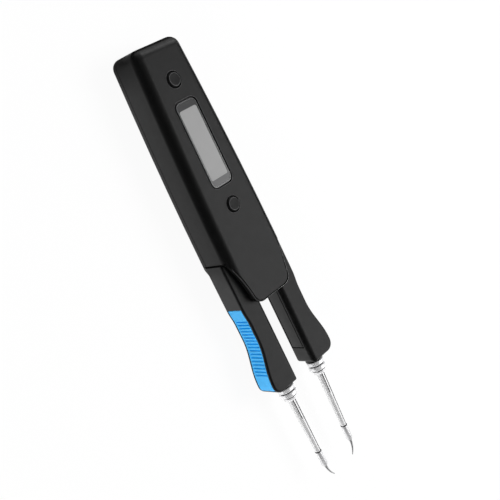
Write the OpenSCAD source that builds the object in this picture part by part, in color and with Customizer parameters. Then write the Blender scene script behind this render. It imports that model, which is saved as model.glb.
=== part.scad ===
// Soldering tweezers with a display, two sprung arms and plug-in cartridges.
// The tool lies on its back: +Z points out of the display, +Y to the tail, X across the arms.
// The origin is under the middle of the whole length, on the rear face.

/* [Body] */
// Length of the body from the tail to the shoulders, where the arms come out
body_len = 72.4; // [70:0.1:84]
// Width of the body across the tail
tail_w = 19.5; // [19:0.1:23]
// Width of the body across the shoulders
shoulder_w = 25.2; // [24.8:0.1:28]
// Bow of the body's sides, at the middle of its length
side_bow = 0.5; // [0:0.1:0.8]
// Depth of the body from the rear face to the front face
body_depth = 15; // [14.6:0.1:18]
// Thickness of the side walls and the tail wall
wall = 1.8; // [1.2:0.1:2.1]
// Thickness of the front wall
front_wall = 2; // [1.8:0.1:2.4]
// Thickness of the rear wall
rear_wall = 1.8; // [1.6:0.1:2.1]
// Height of the rear shell, up to the parting line
rear_shell_h = 3; // [2.6:0.1:4]
// Width of the groove along the parting line
parting_w = 0.2; // [0.1:0.05:0.4]
// Depth of the groove along the parting line
parting_t = 0.3; // [0.1:0.05:0.5]
// Radius of the long front edges
front_edge_r = 3.4; // [1.5:0.1:4]
// Radius of the rear edges
rear_edge_r = 1.8; // [0.6:0.1:1.8]
// Radius of the two tail corners, seen from the front
tail_corner_r = 3; // [1.5:0.1:4]

/* [Hood] */
// Length of the hoods that reach over the arms, from the shoulders
hood_len = 17.6; // [12:0.1:20]
// Width of a hood just above its end corners
hood_tip_w = 17.6; // [13:0.1:19]
// Thickness of a hood
hood_t = 2; // [1.4:0.1:2.4]
// Radius of the hollow sides of a hood
hood_side_r = 56; // [30:1:120]
// Radius of the end corners of a hood
hood_corner_r = 3.4; // [1.5:0.1:5]
// Width of the step along the front hood's rim
hood_step_w = 0.5; // [0.2:0.1:0.9]
// Depth of that step below the front face
hood_step_h = 0.8; // [0.4:0.1:1.2]

/* [Display] */
// Distance from the tail to the middle of the display
display_from_tail = 34.8; // [33:0.1:38]
// Width of the lens inside its rim
lens_w = 8; // [7.8:0.1:9.4]
// Length of the lens inside its rim
lens_len = 28.8; // [27:0.1:30]
// Thickness of the lens
lens_t = 1.2; // [0.8:0.1:1.4]
// Corner radius of the lens inside its rim
lens_corner_r = 1.6; // [0.8:0.1:2.4]
// Width of the raised rim of the lens
bezel_w = 0.45; // [0.3:0.05:0.8]
// Height of the lens rim above the front face
bezel_h = 0.25; // [0.1:0.05:0.4]
// Width of the groove round the lens
lens_groove_w = 0.35; // [0.2:0.05:0.6]
// Depth of the groove round the lens
lens_groove_t = 0.5; // [0.2:0.05:0.8]
// Width of the window that shows the display panel
window_w = 6.9; // [5.8:0.1:7.2]
// Length of the window that shows the display panel
window_len = 24; // [22:0.1:26]
// Width of the display panel
panel_w = 11.5; // [10:0.1:12]
// Length of the display panel
panel_len = 30; // [28:0.1:31]
// Thickness of the display panel
panel_t = 1.45; // [1:0.05:1.8]

/* [Buttons] */
// Distance from the middle of the display to each button
button_offset = 21.9; // [21:0.1:23]
// Diameter of a button
button_d = 5.2; // [4.4:0.1:6]
// Height of a button above the front face
button_rise = 0.75; // [0.5:0.05:1.2]
// Travel of a button
button_travel = 0.4; // [0.2:0.05:0.6]
// Thickness of the flange that keeps a button in
flange_t = 0.8; // [0.5:0.1:1]
// Width of the flange round a button
flange_w = 0.9; // [0.5:0.1:1]
// Side length of a push switch
switch_side = 6; // [5:0.1:6.4]
// Height of a push switch's case
switch_h = 3; // [2:0.1:3.2]
// Diameter of a push switch's plunger
plunger_d = 3.5; // [2:0.1:4]
// Height of a push switch's plunger
plunger_h = 0.5; // [0.3:0.1:1]

/* [Board and inlet] */
// Thickness of the main board
board_t = 1.2; // [0.8:0.1:1.6]
// Width of the power inlet
inlet_w = 8.94; // [8:0.01:9.4]
// Height of the power inlet
inlet_h = 3.26; // [2.8:0.01:3.4]
// Length of the power inlet
inlet_len = 7.35; // [6:0.05:8]
// Sheet thickness of the power inlet's case
inlet_wall = 0.3; // [0.2:0.05:0.4]

/* [Shell screws] */
// Distance from the tail to the first pair of screws
screw_first = 9.3; // [9:0.1:9.8]
// Distance from the first pair of screws to the second pair
screw_spacing = 44; // [43.6:0.1:44.6]
// Distance between the two screws of a pair
screw_span = 12.4; // [12:0.1:13]
// Diameter of a screw's shank
screw_d = 2; // [1.6:0.1:2.2]
// Diameter of a screw's head
screw_head_d = 3.6; // [3:0.1:4]
// Height of a screw's head
screw_head_h = 1.3; // [1:0.1:1.6]

/* [Arms] */
// Length of the arms from the shoulders to the nose
arm_reach = 49.1; // [46:0.1:56]
// Gap between the inner faces of the open arms
arm_gap = 9.2; // [8.8:0.1:9.8]
// Depth of an arm from its rear face to its front face
arm_depth = 9.2; // [8.6:0.1:9.8]
// Radius of the long edges of an arm
arm_edge_r = 0.8; // [0.4:0.1:0.9]
// Radius of the inner front edge of an arm
arm_inner_r = 2; // [0.9:0.1:2.2]
// Width over both arms between the shoulders and the grips
arm_w = 26.8; // [26:0.1:28]
// Distance from the shoulders to the lower end of the arms' waist
waist_at = 28.6; // [26:0.1:31]
// Length of the arms' waist
waist_len = 6; // [2:0.1:7]
// Width over both arms at the waist
waist_w = 25.8; // [25:0.1:27]
// Distance from the nose to the widest place of the arms
bulge_from_nose = 3.7; // [3:0.1:6]
// Width over both arms at their widest place
bulge_w = 31.4; // [29:0.1:34]
// Radius of the outer nose corner
nose_outer_r = 3.2; // [2:0.1:3.6]
// Radius of the inner nose corner
nose_inner_r = 1.2; // [1:0.1:1.6]
// Height of the round boss at the nose
nose_boss_h = 0.9; // [0.4:0.1:1.4]
// Angle by which each arm closes
close_angle = 3.1; // [2:0.1:3.2]
// Distance from the shoulders back to the pivots
pivot_inset = 7.3; // [7:0.1:7.6]
// Height of the flat between the rounded edges of an arm and its root
root_step = 0.2; // [0.1:0.05:0.5]
// Distance by which the root lies behind the inner face of an arm
root_inset = 0.4; // [0.2:0.05:0.6]
// Distance between the two pivots
pivot_span = 13.8; // [13.4:0.1:14]
// Diameter of a pivot pin
pivot_d = 2.4; // [1.8:0.1:2.4]
// Length of the inner arm cover
cover_len = 30.6; // [26:0.1:33]
// Distance from the nose to the inner arm cover
cover_from_nose = 6.2; // [5:0.1:8]
// Height of the inner arm cover
cover_h = 5.9; // [5:0.1:6.4]
// Thickness of the inner arm cover
cover_t = 0.8; // [0.6:0.05:0.95]

/* [Grips] */
// Distance from the shoulders to the top of a grip pad
grip_from = 16.8; // [15:0.1:18]
// Distance from the nose to the lower end of a grip pad
grip_from_nose = 1.5; // [0.8:0.1:4]
// Thickness of a grip pad
grip_t = 1.1; // [0.8:0.1:1.3]
// Margin between a grip pad and the faces of the arm
grip_margin = 1; // [0.8:0.1:1.6]
// Number of grooves in a grip pad
groove_count = 17; // [8:1:18]
// Distance from groove to groove
groove_pitch = 1.23; // [1.1:0.01:1.3]
// Width of a groove
groove_w = 0.55; // [0.3:0.05:0.8]
// Depth of a groove
groove_t = 0.45; // [0.2:0.05:0.7]
// Distance from the top of a grip pad to the first groove
groove_from = 4.7; // [3:0.1:6]
// Margin between the grooves and the long edges of a grip pad
groove_margin = 0.5; // [0.3:0.1:1.2]

/* [Return spring] */
// Distance from the pivots to the return spring
spring_from_pivot = 4.6; // [4.2:0.1:5.2]
// Outer diameter of the return spring
spring_d = 3.6; // [3:0.1:4.2]
// Wire diameter of the return spring
spring_wire_d = 0.6; // [0.4:0.05:0.7]
// Number of turns of the return spring
spring_turns = 6; // [4:1:8]
// Depth of the spring pockets in the arms
pocket_depth = 1.6; // [1.2:0.1:1.8]

/* [Cartridges] */
// Angle by which a cartridge leans towards the middle
toe = 1.4; // [0.6:0.1:2]
// Distance from the inner face of an arm to the cartridge axis at the nose
axis_inset = 3.8; // [3.6:0.05:4.2]
// Diameter of the barrel that plugs into the arm
barrel_d = 3.6; // [3:0.1:3.7]
// Length of the barrel that plugs into the arm
barrel_len = 24; // [20:0.1:25]
// Outer diameter of the socket that holds the barrel
socket_d = 4.6; // [4.4:0.1:4.9]
// Diameter of the collar's two rings
collar_d = 6.5; // [6:0.1:7]
// Diameter of the collar's grooves
collar_groove_d = 5.2; // [4.6:0.1:5.6]
// Length of one collar ring
collar_ring = 1.6; // [1:0.1:2]
// Length of one collar groove
collar_groove = 0.45; // [0.3:0.05:0.8]
// Length of the collar's tapered end
collar_cone = 1.2; // [0.8:0.1:2]
// Diameter of the tube where it leaves the collar
tube_d = 3; // [2.6:0.1:3.2]
// Diameter of the tube at the bit
tube_end_d = 2.2; // [2:0.1:2.4]
// Length of the tube from the collar to the bit
tube_len = 22.7; // [18:0.1:26]
// Diameter of the bit
bit_d = 2.4; // [2.2:0.05:2.8]
// Length of the bit's straight sleeve
bit_len = 5.8; // [4.6:0.1:8]
// Length of the bit's cone
bit_cone = 0.8; // [0.4:0.1:1.6]
// Diameter of the needle at the bit
needle_d = 1; // [0.8:0.05:1.2]
// Diameter of the needle at its end
needle_end_d = 0.3; // [0.2:0.05:0.5]
// Radius of the needle's bend
bend_r = 8; // [6:0.1:10]
// Angle of the needle's bend
bend_angle = 40; // [20:1:45]
// Diameter of the contact pin behind the barrel
contact_d = 1.4; // [1:0.1:1.6]
// Length of the contact pin behind the barrel
contact_len = 3.6; // [3:0.1:4]
// Diameter of a lead
lead_d = 0.9; // [0.6:0.1:1]

/* [Clearances] */
// Gap beside pieces that are laid into a recess
fit_gap = 0.1; // [0.05:0.01:0.15]
// Gap beside a shaft in its bore, on the radius
bore_gap = 0.03; // [0.01:0.01:0.06]
// Gap beside a button in its hole, on the radius
button_gap = 0.2; // [0.1:0.05:0.3]
// Gap between an arm and the shells beside it
arm_clear = 0.35; // [0.3:0.05:0.5]
// Gap between the main board and the walls
board_gap = 0.5; // [0.3:0.1:0.8]
// Gap left between a pressed or squeezed piece and what stops it
stop_gap = 0.1; // [0.05:0.01:0.15]

/* [Hidden] */

$fn = 48;
edge_steps = 4;
curve_steps = 10;
bow_steps = 5;
eps = 0.01;
over = 1;
turn = 360;
LEFT = -1;
RIGHT = 1;

// Cartridge stations, measured outwards along its axis from the nose of the arm
collar_start = nose_boss_h + stop_gap;
collar_end = collar_start + 2 * collar_ring + 2 * collar_groove + collar_cone;
bit_start = collar_end + tube_len;
needle_start = bit_start + bit_len + bit_cone;
needle_end_u = needle_start + bend_r * sin(bend_angle);
needle_end_v = bend_r * (1 - cos(bend_angle));
cartridge_reach = needle_end_u * cos(toe) - needle_end_v * sin(toe) + needle_end_d / 2;
spigot_step = 0.35;
spigot_d = tube_end_d - 2 * spigot_step;
spigot_len = 2;
insulator_len = 1.2;
insulator_step = 0.5;
insulator_d = barrel_d - 2 * insulator_step;
socket_floor = barrel_len + insulator_len + stop_gap;
socket_spare = 0.5;
socket_len = barrel_len + contact_len + socket_spare;

// Stations along Y
overall_len = body_len + arm_reach + cartridge_reach;
tail_y = overall_len / 2;
shoulder_y = tail_y - body_len;
hood_end_y = shoulder_y - hood_len;
nose_y = shoulder_y - arm_reach;
display_y = tail_y - display_from_tail;
button_ys = [display_y + button_offset, display_y - button_offset];
pivot_y = shoulder_y + pivot_inset;
waist_y = shoulder_y - waist_at;
nose_flat = 0.2;
waist_top = waist_y + waist_len;
bulge_y = nose_y + bulge_from_nose;
nose_r = min(nose_outer_r, bulge_from_nose - nose_flat);
arm_top = shoulder_y - arm_clear;
grip_y0 = nose_y + grip_from_nose;
grip_y1 = shoulder_y - grip_from;
spring_y = pivot_y - spring_from_pivot;

// Stations along Z
mid_z = body_depth / 2;
arm_z0 = mid_z - arm_depth / 2;
arm_z1 = mid_z + arm_depth / 2;
root_z0 = arm_z0 + arm_edge_r + root_step;
root_z1 = arm_z1 - arm_edge_r - root_step;
front_inner_z = body_depth - front_wall;
button_z0 = front_inner_z - stop_gap - flange_t;
plunger_z1 = button_z0 - button_travel - stop_gap;
board_z1 = plunger_z1 - plunger_h - switch_h;
board_z0 = board_z1 - board_t;
inlet_z = board_z1 + inlet_h / 2;

// Body form
taper = atan((shoulder_w - tail_w) / 2 / body_len);
post_r = max(tail_corner_r, front_edge_r, rear_edge_r);
inner_post_r = max(post_r - wall, 0.8);
inner_edge_r = 0.8;
screw_xs = [-screw_span / 2, screw_span / 2];
screw_ys = [tail_y - screw_first, tail_y - screw_first - screw_spacing];
screw_boss_wall = 0.8;
screw_boss_d = screw_d + 2 * screw_boss_wall;
screw_seat_wall = 1.1;
screw_seat_d = screw_d + 2 * screw_seat_wall;
screw_recess = 0.6;
screw_grip = 3.2;
screw_end_gap = 0.5;
pivot_boss_wall = 1.3;
pivot_boss_d = pivot_d + 2 * pivot_boss_wall;
pivot_cap = 0.8;
inlet_from_tail = 0.3;
inlet_gap = 0.3;

// Arms
pivot_x = pivot_span / 2;
arm_inner_x = arm_gap / 2;
root_corner_r = 1.6;
root_overlap = 3;
root_wall = 2.4;
root_end_y = pivot_y + pivot_d / 2 + root_wall;
board_clear = 1;
board_end_y = root_end_y + arm_clear + board_clear;
axis_x = arm_inner_x + axis_inset;
socket_bore_d = socket_d + 2 * fit_gap;
barrel_bore_d = barrel_d + 2 * bore_gap;
mouth_d = barrel_d + 4 * fit_gap;
socket_start = 3;
spring_play = spring_from_pivot * sin(close_angle) + stop_gap;
spring_len = arm_gap + 2 * pocket_depth - 2 * spring_play;
pocket_gap = 0.3;
pocket_d = spring_d + 2 * pocket_gap;
lead_wall = 0.45;
lead_x = pivot_x + pivot_d / 2 + lead_d / 2 + lead_wall;
lead_zs = [board_z1 + arm_clear + lead_d / 2, board_z1 + arm_clear + lead_d * 1.6];
lead_run = 2.4;
lead_end_y = board_end_y + lead_run;
socket_rear_y = nose_y + socket_len * cos(toe);
channel_gap = 0.15;

// Half the width of the body at a place along Y
function half_w(y) =
    let (t = min(max((tail_y - y) / body_len, 0), 1))
    tail_w / 2 + (shoulder_w - tail_w) / 2 * t + 4 * side_bow * t * (1 - t);

// A smooth step from one value to another
function ease(from, to, t) = from + (to - from) * (1 - cos(180 * t)) / 2;

// Points along an arc, both ends included
function arc(center, r, from, to, steps) =
    [for (i = [0:steps]) let (a = from + (to - from) * i / steps) center + r * [cos(a), sin(a)]];

function unit(v) = v / norm(v);

// The outline moved inwards by a distance, corner by corner
function inset_outline(pts, d) =
    let (n = len(pts))
    [for (i = [0:n - 1])
        let (
            a = unit(pts[i] - pts[(i + n - 1) % n]),
            b = unit(pts[(i + 1) % n] - pts[i]),
            na = [-a[1], a[0]],
            nb = [-b[1], b[0]])
        pts[i] + d * (na + nb) / (1 + na * nb)];

// Half the width over both arms at a place along Y
function arm_outer_x(y) =
    y > grip_y1 ? arm_w / 2
    : y > waist_top ? ease(arm_w / 2, waist_w / 2, (grip_y1 - y) / (grip_y1 - waist_top))
    : y > waist_y ? waist_w / 2
    : y > bulge_y ? ease(waist_w / 2, bulge_w / 2, (waist_y - y) / (waist_y - bulge_y))
    : y > nose_y + nose_r ? bulge_w / 2
    : bulge_w / 2 - nose_r + sqrt(max(0, pow(nose_r, 2) - pow(nose_y + nose_r - y, 2)));

// Half the width of the arm roots inside the body
function root_x(y) = half_w(y) - wall / cos(taper) - arm_clear;

// Points along the outer face of an arm between two places along Y, without the last
function arm_outer_curve(y0, y1, steps) =
    [for (i = [0:steps - 1]) let (y = y0 + (y1 - y0) * i / steps) [arm_outer_x(y), y]];

// The right arm seen from the front, anticlockwise from its inner nose corner
function arm_outline() = concat(
    arc([arm_inner_x + nose_inner_r, nose_y + nose_inner_r], nose_inner_r, 180, 270, edge_steps),
    arc([bulge_w / 2 - nose_r, nose_y + nose_r], nose_r, 270, 360, curve_steps),
    arm_outer_curve(bulge_y, waist_y, curve_steps),
    [[waist_w / 2, waist_y]],
    arm_outer_curve(waist_top, grip_y1, curve_steps),
    [[arm_w / 2, grip_y1], [arm_w / 2, arm_top], [arm_inner_x, arm_top]]);

// How far a rounded edge has drawn in at a height above its start
function draw_in(r, h) = h <= 0 ? 0 : r - sqrt(max(0, pow(r, 2) - pow(h, 2)));

// The right arm's outline at a height, drawn in at its rims and at its inner front edge
function arm_section(z) =
    let (
        rim = draw_in(arm_edge_r, max(z - arm_z1, arm_z0 - z) + arm_edge_r),
        inner = arm_inner_x + draw_in(arm_inner_r, z - arm_z1 + arm_inner_r))
    [for (p = inset_outline(arm_outline(), rim)) [max(p[0], inner), p[1], z]];

// Half of a hood's outline, from the shoulder down to the middle of its end
function hood_side(inset) =
    let (
        top = [half_w(shoulder_y) - inset, shoulder_y],
        low = [hood_tip_w / 2 - inset, hood_end_y + inset + hood_corner_r],
        mid = (top + low) / 2,
        half = norm(top - low) / 2,
        out = unit([top[1] - low[1], low[0] - top[0]]),
        center = mid + out * sqrt(pow(hood_side_r, 2) - pow(half, 2)),
        a0 = atan2(top[1] - center[1], top[0] - center[0]),
        a1 = atan2(low[1] - center[1], low[0] - center[0]),
        from = a0 < 0 ? a0 + turn : a0,
        to = a1 < 0 ? a1 + turn : a1)
    concat(
        arc(center, hood_side_r, from, to, curve_steps),
        arc([low[0] - hood_corner_r, low[1]], hood_corner_r, 0, -90, curve_steps));

// A closed skin over rings of points
module skin(rings) {
    n = len(rings[0]);
    last = len(rings) - 1;
    polyhedron(
        points = [for (ring = rings) each ring],
        faces = concat(
            [[for (i = [0:n - 1]) i]],
            [for (k = [0:last - 1], i = [0:n - 1])
                let (j = (i + 1) % n)
                [k * n + i, (k + 1) * n + i, (k + 1) * n + j, k * n + j]],
            [[for (i = [n - 1:-1:0]) last * n + i]]));
}

// A rectangle with round corners, about its centre
module rounded_rect(w, h, r) {
    square([w - 2 * r, h], center = true);
    square([w, h - 2 * r], center = true);
    for (x = [-1, 1], y = [-1, 1])
        translate([x * (w / 2 - r), y * (h / 2 - r)]) circle(r);
}

// A turned shape from pairs of radius and height
module turned(profile) {
    rotate_extrude() polygon(concat([[0, profile[0][1]]], profile, [[0, profile[len(profile) - 1][1]]]));
}

// A copy on the left or the right side
module on_side(side) {
    mirror([side == LEFT ? 1 : 0, 0, 0]) children();
}

// The right cartridge's axis as +Z, starting at the nose of the arm
module at_cartridge() {
    translate([axis_x, nose_y, mid_z]) rotate([0, 0, -toe]) rotate([90, 0, 0]) children();
}

// Body shells

module corner_post(r, z0, z1, low_r, high_r) {
    rotate_extrude($fn = 32)
        polygon(concat(
            [[0, z0]],
            arc([r - low_r, z0 + low_r], low_r, -90, 0, edge_steps),
            arc([r - high_r, z1 - high_r], high_r, 0, 90, 2 * edge_steps),
            [[0, z1]]));
}

// The bowed wedge between two places along Y, inset from the outer faces
module wedge(inset, y0, y1, z0, z1, r, low_r, high_r) {
    top = y1 - inset - r;
    stations = [for (i = [0:bow_steps]) top + (shoulder_y - top) * i / bow_steps];
    hull()
        for (side = [-1, 1], y = concat([y0 + r], stations))
            translate([side * (half_w(y) - (inset + r) / cos(taper)), y, 0])
                corner_post(r, z0, z1, low_r, high_r);
}

module body_form() {
    wedge(0, hood_end_y - 3 * post_r, tail_y, 0, body_depth, post_r, rear_edge_r, front_edge_r);
}

// The body seen from the front, inset from the side faces
module body_plan(inset) {
    top = tail_y - post_r;
    stations = [for (i = [0:bow_steps]) top + (shoulder_y - top) * i / bow_steps];
    hull()
        for (side = [-1, 1], y = concat([hood_end_y], stations))
            translate([side * (half_w(y) - post_r / cos(taper)), y]) circle(post_r - inset);
}

// A thin groove along the foot of the front shell
module parting_groove() {
    translate([0, 0, rear_shell_h])
        linear_extrude(parting_w)
            difference() {
                square(2 * body_len + 2 * arm_reach, center = true);
                body_plan(parting_t);
            }
}

module body_cavity() {
    wedge(wall, shoulder_y - 3 * inner_post_r, tail_y, rear_wall, front_inner_z,
        inner_post_r, inner_edge_r, inner_edge_r);
}

// The body with one hood seen from the front
module plan_outline(inset) {
    side = hood_side(inset);
    polygon(concat(
        [for (p = side) [p[0], p[1]]],
        [for (i = [len(side) - 1:-1:0]) [-side[i][0], side[i][1]]],
        [[-shoulder_w, shoulder_y], [-shoulder_w, tail_y + over], [shoulder_w, tail_y + over],
            [shoulder_w, shoulder_y]]));
}

module box(x, y, z) {
    translate([x[0], y[0], z[0]]) cube([x[1] - x[0], y[1] - y[0], z[1] - z[0]]);
}

// Everything between the hoods, where the arms swing
module arm_mouth() {
    box([-shoulder_w, shoulder_w], [hood_end_y - over, shoulder_y], [hood_t, body_depth - hood_t]);
}

module inlet_shape(grow) {
    rounded_rect(inlet_w + 2 * grow, inlet_h + 2 * grow, inlet_h / 2 + grow - eps);
}

module at_screws() {
    for (x = screw_xs, y = screw_ys) translate([x, y, 0]) children();
}

module at_pivots() {
    for (side = [-1, 1]) translate([side * pivot_x, pivot_y, 0]) children();
}

module at_buttons() {
    for (y = button_ys) translate([0, y, 0]) children();
}

module front_shell() {
    lens_z0 = body_depth - lens_t;
    color([0.13, 0.13, 0.135])
    difference() {
        union() {
            difference() {
                intersection() {
                    body_form();
                    union() {
                        translate([0, 0, rear_shell_h])
                            linear_extrude(body_depth - hood_step_h - rear_shell_h) plan_outline(0);
                        translate([0, 0, rear_shell_h])
                            linear_extrude(body_depth) plan_outline(hood_step_w);
                    }
                }
                body_cavity();
                arm_mouth();
            }
            at_screws() translate([0, 0, board_z1])
                cylinder(d = screw_boss_d, h = front_inner_z - board_z1 + eps);
            at_pivots() translate([0, 0, root_z1 + arm_clear])
                cylinder(d = pivot_boss_d, h = front_inner_z - root_z1 - arm_clear + eps);
        }
        translate([0, display_y, lens_z0 - stop_gap]) linear_extrude(body_depth) lens_outline(fit_gap);
        translate([0, display_y, body_depth - lens_groove_t])
            linear_extrude(body_depth) lens_outline(lens_groove_w);
        translate([0, display_y, 0]) linear_extrude(body_depth) square([window_w, window_len], center = true);
        at_buttons() cylinder(d = button_d + 2 * button_gap, h = body_depth + over);
        at_screws() translate([0, 0, board_z1 - eps])
            cylinder(d = screw_d + 2 * bore_gap, h = screw_grip + screw_end_gap);
        at_pivots() cylinder(d = pivot_d + 2 * bore_gap, h = body_depth - pivot_cap);
        translate([0, tail_y + over, inlet_z]) rotate([90, 0, 0])
            linear_extrude(wall + 2 * over) inlet_shape(inlet_gap);
        parting_groove();
    }
}

module rear_shell() {
    color([0.13, 0.13, 0.135])
    difference() {
        union() {
            difference() {
                intersection() {
                    body_form();
                    linear_extrude(rear_shell_h) plan_outline(0);
                }
                body_cavity();
                arm_mouth();
            }
            at_screws() cylinder(d = screw_seat_d, h = board_z0);
            at_pivots() translate([0, 0, pivot_cap])
                cylinder(d = pivot_boss_d, h = root_z0 - arm_clear - pivot_cap);
        }
        at_screws() translate([0, 0, -over]) cylinder(d = screw_d + 4 * fit_gap, h = board_z0 + 2 * over);
        at_screws() translate([0, 0, -over])
            cylinder(d = screw_head_d + 4 * fit_gap, h = over + screw_recess + screw_head_h);
        at_pivots() translate([0, 0, pivot_cap]) cylinder(d = pivot_d + 2 * bore_gap, h = arm_z0);
    }
}

// Display and board

// The lens with its rim seen from the front
module lens_outline(grow) {
    rim = 2 * bezel_w + 2 * grow;
    rounded_rect(lens_w + rim, lens_len + rim, lens_corner_r + bezel_w + grow);
}

module display_lens() {
    color([0.3, 0.3, 0.31])
    translate([0, display_y, body_depth - lens_t]) {
        linear_extrude(lens_t) lens_outline(0);
        linear_extrude(lens_t + bezel_h)
            difference() {
                lens_outline(0);
                lens_outline(-bezel_w);
            }
    }
}

module display_panel() {
    color([0.62, 0.62, 0.62])
    translate([0, display_y, front_inner_z - stop_gap - panel_t])
        linear_extrude(panel_t) square([panel_w, panel_len], center = true);
}

module main_board() {
    y1 = tail_y - wall - board_gap;
    y0 = board_end_y;
    function edge(y) = half_w(y) - wall / cos(taper) - board_gap;
    color([0.05, 0.3, 0.16])
    difference() {
        translate([0, 0, board_z0])
            linear_extrude(board_t)
                polygon([[-edge(y0), y0], [edge(y0), y0], [edge(y1), y1], [-edge(y1), y1]]);
        at_screws() translate([0, 0, board_z0 - over])
            cylinder(d = screw_d + 4 * fit_gap, h = board_t + 2 * over);
        for (side = [-1, 1])
            translate([side * edge(y1), y1, board_z0 - over])
                cylinder(r = inner_post_r, h = board_t + 2 * over);
    }
}

module push_switch(y) {
    translate([0, y, board_z1]) {
        color([0.2, 0.2, 0.2])
            linear_extrude(switch_h) rounded_rect(switch_side, switch_side, 0.5);
        color([0.1, 0.1, 0.1]) cylinder(d = plunger_d, h = switch_h + plunger_h);
    }
}

module upper_switch() {
    push_switch(button_ys[0]);
}

module lower_switch() {
    push_switch(button_ys[1]);
}

module power_inlet() {
    tongue_w = inlet_w * 0.75;
    tongue_t = 0.7;
    color([0.75, 0.75, 0.77])
    translate([0, tail_y - inlet_from_tail, inlet_z]) rotate([90, 0, 0]) {
        difference() {
            linear_extrude(inlet_len) inlet_shape(0);
            translate([0, 0, -over])
                linear_extrude(inlet_len - inlet_wall) inlet_shape(-inlet_wall);
        }
        translate([0, 0, 1.2]) linear_extrude(inlet_len - 1.4) square([tongue_w, tongue_t], center = true);
    }
}

module shell_screws() {
    color([0.55, 0.55, 0.57])
    at_screws() translate([0, 0, screw_recess]) {
        cylinder(d = screw_head_d, h = screw_head_h - fit_gap);
        cylinder(d = screw_d, h = board_z1 + screw_grip - screw_recess);
    }
}

// Buttons

module push_button(y) {
    top = body_depth + button_rise;
    round_r = 0.3;
    r = button_d / 2;
    color([0.12, 0.12, 0.125])
    translate([0, y, 0])
        turned(concat(
            [[r + flange_w, button_z0], [r + flange_w, button_z0 + flange_t], [r, button_z0 + flange_t]],
            arc([r - round_r, top - round_r], round_r, 0, 90, edge_steps)));
}

module upper_button() {
    push_button(button_ys[0]);
}

module lower_button() {
    push_button(button_ys[1]);
}

// Pivots and return spring

module pivot_pin(side) {
    color([0.7, 0.7, 0.72])
    translate([side * pivot_x, pivot_y, pivot_cap + stop_gap])
        cylinder(d = pivot_d, h = body_depth - 2 * pivot_cap - 2 * stop_gap);
}

module left_pivot_pin() {
    pivot_pin(LEFT);
}

module right_pivot_pin() {
    pivot_pin(RIGHT);
}

// A coil along X whose wire follows a helix
module return_spring() {
    per_turn = 14;
    sides = 8;
    r = (spring_d - spring_wire_d) / 2;
    rise = (spring_len - spring_wire_d) / spring_turns;
    color([0.72, 0.72, 0.74])
    translate([0, spring_y, mid_z])
        skin([for (i = [0:per_turn * spring_turns])
            let (
                a = 360 * i / per_turn,
                center = [rise * (i / per_turn - spring_turns / 2), r * cos(a), r * sin(a)],
                along = unit([rise, -2 * PI * r * sin(a), 2 * PI * r * cos(a)]),
                out = [0, cos(a), sin(a)],
                cross_dir = cross(along, out))
            [for (s = [0:sides - 1])
                let (b = 360 * s / sides)
                center + spring_wire_d / 2 * (cos(b) * out + sin(b) * cross_dir)]]);
}

// Arms

// The recess for a grip pad or the pad itself, seen from the front
module grip_outline(grow) {
    y0 = grip_y0 - grow;
    y1 = grip_y1 + grow;
    outer = concat(arm_outer_curve(y0, y1, 3 * curve_steps), [[arm_outer_x(y1), y1]]);
    polygon(concat(
        [for (p = outer) p + [grow > 0 ? over : 0, 0]],
        [for (i = [len(outer) - 1:-1:0]) outer[i] - [grip_t + grow, 0]]));
}

// The tongue that carries an arm on its pivot, sunk into the top of the arm
module arm_root() {
    x0 = arm_inner_x + root_inset;
    y0 = arm_top - root_overlap;
    translate([0, 0, root_z0])
        linear_extrude(root_z1 - root_z0)
            polygon(concat(
                [[x0, y0], [root_x(y0), y0]],
                arc([root_x(root_end_y) - root_corner_r, root_end_y - root_corner_r], root_corner_r, 0, 90,
                    edge_steps),
                arc([x0 + root_corner_r, root_end_y - root_corner_r], root_corner_r, 90, 180, edge_steps)));
}

// The right arm without its openings
module arm_form() {
    low = [for (k = [0:edge_steps]) arm_z0 + arm_edge_r * (1 - cos(90 * k / edge_steps))];
    high = [for (k = [2 * edge_steps:-1:0]) arm_z1 - arm_inner_r * (1 - cos(45 * k / edge_steps))];
    skin([for (z = concat(low, high)) arm_section(z)]);
}

module arm_shell() {
    cover_y0 = nose_y + cover_from_nose;
    color([0.13, 0.13, 0.135])
    difference() {
        union() {
            arm_form();
            arm_root();
            at_cartridge() translate([0, 0, -over]) cylinder(d = collar_d, h = nose_boss_h + over);
        }
        translate([pivot_x, pivot_y, 0]) cylinder(d = pivot_d + 2 * bore_gap, h = body_depth);
        at_cartridge() translate([0, 0, -socket_len - fit_gap])
            cylinder(d = socket_bore_d, h = socket_len - socket_start + 2 * fit_gap);
        at_cartridge() translate([0, 0, -socket_start - over])
            cylinder(d = mouth_d, h = socket_start + nose_boss_h + 2 * over);
        translate([arm_inner_x - over, spring_y, mid_z]) rotate([0, 90, 0])
            cylinder(d = pocket_d, h = pocket_depth + over);
        box([lead_x - lead_d / 2 - channel_gap, lead_x + lead_d / 2 + channel_gap],
            [socket_rear_y - fit_gap, root_end_y + over],
            [lead_zs[0] - lead_d / 2 - channel_gap, lead_zs[1] + lead_d / 2 + channel_gap]);
        box([arm_inner_x - over, arm_inner_x + cover_t + fit_gap],
            [cover_y0 - fit_gap, cover_y0 + cover_len + fit_gap],
            [arm_z0 + grip_margin - fit_gap, arm_z0 + grip_margin + cover_h + fit_gap]);
        translate([0, 0, arm_z0 + grip_margin - fit_gap])
            linear_extrude(arm_depth - 2 * grip_margin + 2 * fit_gap) grip_outline(fit_gap);
    }
}

module left_arm_shell() {
    on_side(LEFT) arm_shell();
}

module right_arm_shell() {
    on_side(RIGHT) arm_shell();
}

module arm_cover() {
    y0 = nose_y + cover_from_nose;
    color([0.16, 0.16, 0.165])
        box([arm_inner_x, arm_inner_x + cover_t], [y0, y0 + cover_len],
            [arm_z0 + grip_margin, arm_z0 + grip_margin + cover_h]);
}

module left_arm_cover() {
    on_side(LEFT) arm_cover();
}

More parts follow.
